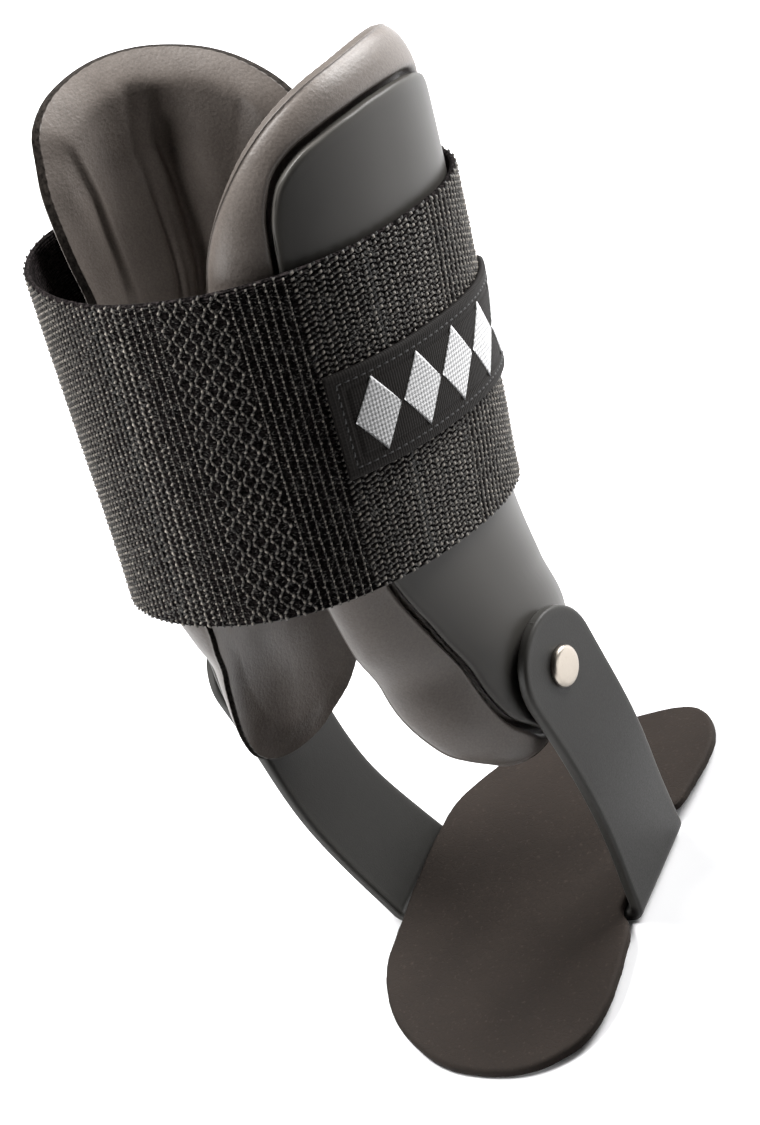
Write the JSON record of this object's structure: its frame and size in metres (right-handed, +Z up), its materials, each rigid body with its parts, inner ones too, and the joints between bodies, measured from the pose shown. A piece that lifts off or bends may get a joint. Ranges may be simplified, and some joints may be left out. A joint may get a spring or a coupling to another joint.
{
  "type": "hinged ankle brace",
  "caption": "Ankle brace: two padded side shells held round the leg by a wide webbing strap, hinged on a U-shaped stirrup that carries a thin foot plate.",
  "frame": {"origin": "on the ground, in the middle of the stirrup's base, straight under the hinge line", "axes": "+X the outer (lateral) side of the ankle, +Y towards the heel with the toes to -Y, +Z up the leg, the brace's longest way"},
  "size_m": [0.1086, 0.1412, 0.2333],
  "materials": {
    "arm_plastic": "fine matte moulded plastic",
    "plate_leather": "grained, worn",
    "shell_plastic": "satin moulded plastic",
    "pad_foam": "soft pebbled skin on foam",
    "strap_webbing": "heavy patterned weave",
    "label_cloth": "fine weave with stitched border",
    "rivet_metal": "satin turned face"
  },
  "bodies": {
    "lower": {"stirrup": "arm_plastic", "foot_plate": "plate_leather", "outer_rivet": "rivet_metal", "inner_rivet": "rivet_metal"},
    "upper": {"outer_shell": "shell_plastic", "inner_shell": "shell_plastic", "outer_pad": "pad_foam", "inner_pad": "pad_foam", "calf_strap": "strap_webbing", "label": "label_cloth"}
  },
  "joints": [
    {"name": "ankle_hinge", "type": "hinge", "parent": "lower", "child": "upper", "pos_m": [0, 0, 0.0783], "axis": [1, 0, 0], "range_deg": [-25, 40]}
  ]
}
